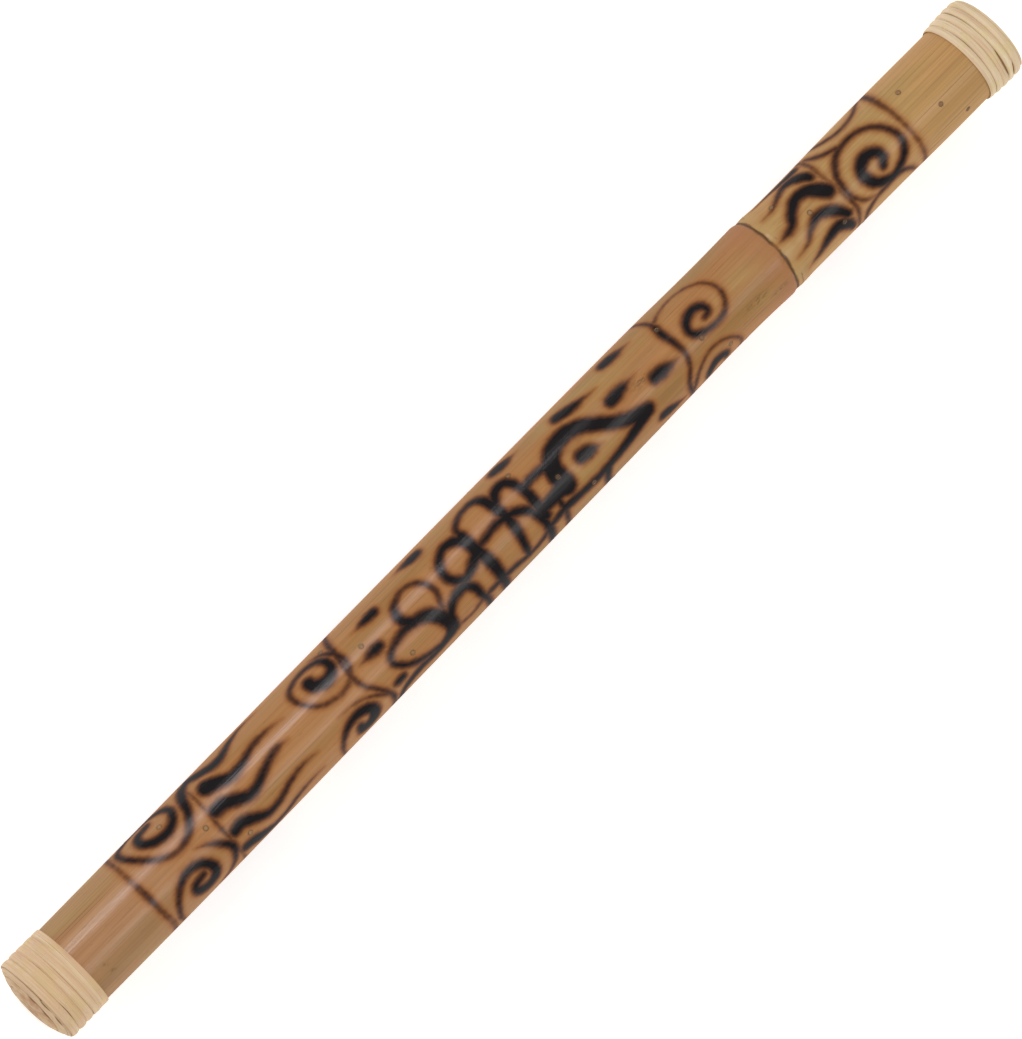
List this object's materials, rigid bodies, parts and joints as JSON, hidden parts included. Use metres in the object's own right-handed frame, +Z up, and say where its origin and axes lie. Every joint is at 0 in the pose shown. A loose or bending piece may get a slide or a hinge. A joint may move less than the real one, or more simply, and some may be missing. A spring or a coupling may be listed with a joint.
{
  "type": "rainstick",
  "caption": "Hollow bamboo tube crossed by a helix of pegs, closed by plugs under bound rattan ends, with loose pebbles that run from end to end when it is tipped.",
  "frame": {"origin": "on the plane that the stick lies on, midway along its length, below its axis", "axes": "+X along the stick towards the end nearer the bamboo node, +Z up, with the most decorated side up"},
  "size_m": [0.61, 0.044, 0.044],
  "materials": {
    "bamboo": "natural bamboo skin, glossy, with a burnt black-brown pattern",
    "peg_bamboo": "sawn bamboo slivers, matte, dark at the rim",
    "rattan": "natural split cane, satin, with fine lengthwise fibres",
    "plug_wood": "plain sawn softwood, matte",
    "pebble": "small river gravel, matte, mixed greys and browns"
  },
  "bodies": {
    "root": {"culm": "bamboo", "peg_01": "peg_bamboo", "peg_02": "peg_bamboo", "peg_03": "peg_bamboo", "peg_04": "peg_bamboo", "peg_05": "peg_bamboo", "peg_06": "peg_bamboo", "peg_07": "peg_bamboo", "peg_08": "peg_bamboo", "peg_09": "peg_bamboo", "peg_10": "peg_bamboo", "peg_11": "peg_bamboo", "peg_12": "peg_bamboo", "peg_13": "peg_bamboo", "peg_14": "peg_bamboo", "peg_15": "peg_bamboo", "peg_16": "peg_bamboo", "peg_17": "peg_bamboo", "peg_18": "peg_bamboo", "peg_19": "peg_bamboo", "peg_20": "peg_bamboo", "peg_21": "peg_bamboo", "peg_22": "peg_bamboo", "peg_23": "peg_bamboo", "peg_24": "peg_bamboo", "peg_25": "peg_bamboo", "peg_26": "peg_bamboo", "peg_27": "peg_bamboo", "peg_28": "peg_bamboo", "peg_29": "peg_bamboo", "peg_30": "peg_bamboo", "peg_31": "peg_bamboo", "peg_32": "peg_bamboo", "peg_33": "peg_bamboo", "peg_34": "peg_bamboo", "peg_35": "peg_bamboo", "peg_36": "peg_bamboo", "peg_37": "peg_bamboo", "peg_38": "peg_bamboo", "peg_39": "peg_bamboo", "peg_40": "peg_bamboo", "peg_41": "peg_bamboo", "peg_42": "peg_bamboo", "peg_43": "peg_bamboo", "peg_44": "peg_bamboo", "peg_45": "peg_bamboo", "peg_46": "peg_bamboo", "peg_47": "peg_bamboo", "left_plug": "plug_wood", "left_rim_winding": "rattan", "left_end_disc": "rattan", "right_plug": "plug_wood", "right_rim_winding": "rattan", "right_end_disc": "rattan"},
    "pebble_1": {"pebble_1": "pebble"},
    "pebble_2": {"pebble_2": "pebble"},
    "pebble_3": {"pebble_3": "pebble"},
    "pebble_4": {"pebble_4": "pebble"}
  },
  "joints": [
    {"name": "pebble_1_run", "type": "slide", "parent": "root", "child": "pebble_1", "axis": [1, 0, 0], "range_m": [-0.072, 0.5]},
    {"name": "pebble_2_run", "type": "slide", "parent": "root", "child": "pebble_2", "axis": [1, 0, 0], "range_m": [-0.214, 0.358]},
    {"name": "pebble_3_run", "type": "slide", "parent": "root", "child": "pebble_3", "axis": [1, 0, 0], "range_m": [-0.382, 0.19]},
    {"name": "pebble_4_run", "type": "slide", "parent": "root", "child": "pebble_4", "axis": [1, 0, 0], "range_m": [-0.514, 0.058]}
  ]
}
